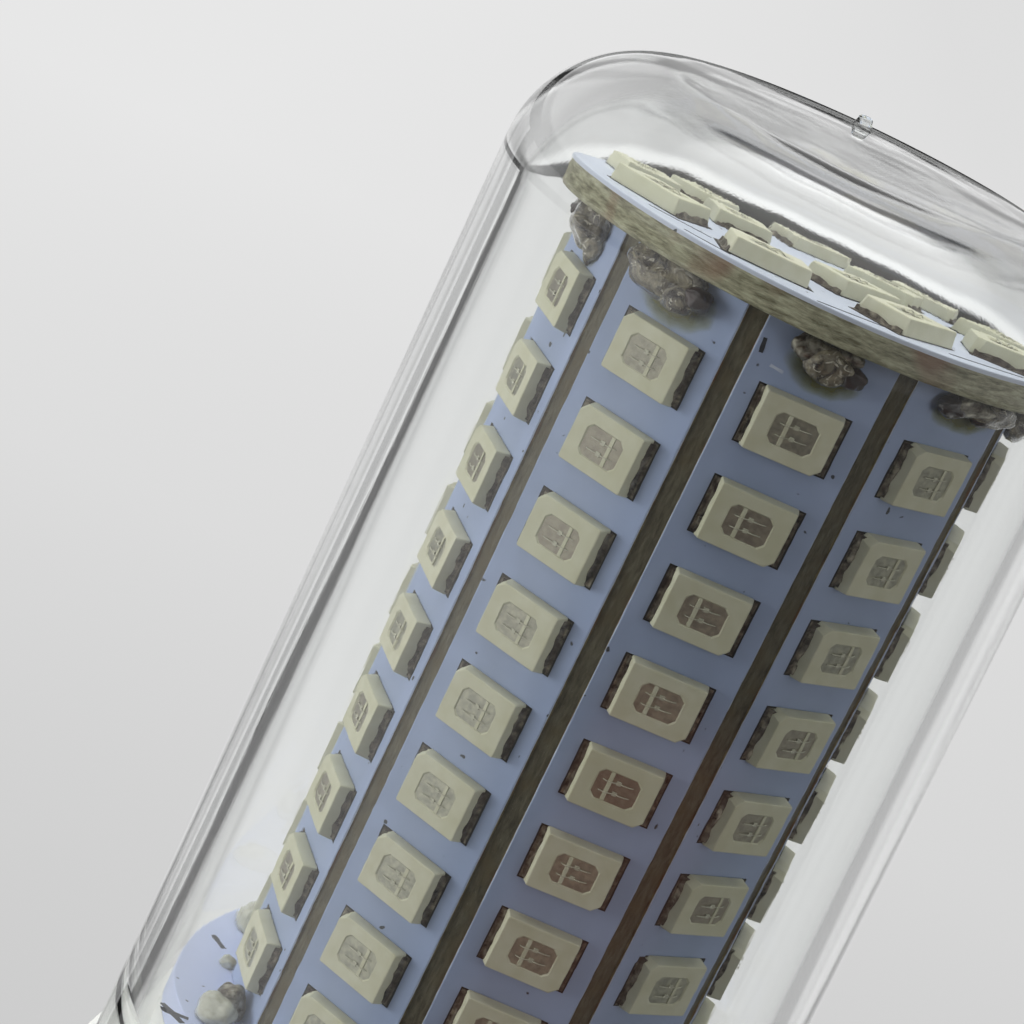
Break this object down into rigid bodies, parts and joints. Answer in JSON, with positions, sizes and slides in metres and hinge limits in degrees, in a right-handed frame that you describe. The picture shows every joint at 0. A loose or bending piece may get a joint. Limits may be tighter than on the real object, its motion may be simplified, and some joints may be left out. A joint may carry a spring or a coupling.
{
  "type": "germicidal uv bulb",
  "caption": "Germicidal UV lamp: flat LED boards stand in a ring under a clear moulded cover, with a round board on top, on a white housing with an Edison screw cap.",
  "frame": {"origin": "tip of the cap's centre contact, on the lamp's axis", "axes": "+Z along the lamp's axis, from the screw cap to the clear cover's top; -Y is the outward side of the first LED board"},
  "size_m": [0.0326, 0.0326, 0.101],
  "materials": {
    "clear_cover": "clear moulded plastic, polished",
    "board_mask": "pale blue-grey solder mask, semi-gloss",
    "plate_mask": "pale lavender solder mask, semi-gloss",
    "led_body": "cream package with a sunk window",
    "solder": "dull solder",
    "housing_white": "white moulded, satin",
    "cap_metal": "drawn sheet, nickel plated",
    "insulator_black": "black, glossy",
    "contact_metal": "pressed, lightly worn",
    "driver_laminate": "paper laminate, semi-gloss",
    "film_case": "dipped, glossy",
    "can_sleeve": "shrunk sleeve",
    "chip_black": "moulded, matt",
    "resistor_body": "lacquered",
    "wire_red": "insulated lead",
    "wire_black": "insulated lead"
  },
  "bodies": {
    "root": {"screw_shell": "cap_metal", "cap_insulator": "insulator_black", "centre_contact": "contact_metal", "base_housing": "housing_white", "cover": "clear_cover", "base_plate": "plate_mask", "top_disc": "board_mask", "top_disc_leds": "led_body", "top_solder_joints": "solder", "base_solder_joints": "solder", "driver_board": "driver_laminate", "film_capacitor": "film_case", "smoothing_capacitor": "can_sleeve", "bridge_rectifier": "chip_black", "chip_resistors": "chip_black", "fuse_resistor": "resistor_body", "plus_lead": "wire_red", "minus_lead": "wire_black", "shell_lead": "wire_black", "led_strip_1": "board_mask", "strip_1_leds": "led_body", "led_strip_2": "board_mask", "strip_2_leds": "led_body", "led_strip_3": "board_mask", "strip_3_leds": "led_body", "led_strip_4": "board_mask", "strip_4_leds": "led_body", "led_strip_5": "board_mask", "strip_5_leds": "led_body", "led_strip_6": "board_mask", "strip_6_leds": "led_body", "led_strip_7": "board_mask", "strip_7_leds": "led_body", "led_strip_8": "board_mask", "strip_8_leds": "led_body", "led_strip_9": "board_mask", "strip_9_leds": "led_body", "led_strip_10": "board_mask", "strip_10_leds": "led_body"}
  },
  "joints": []
}
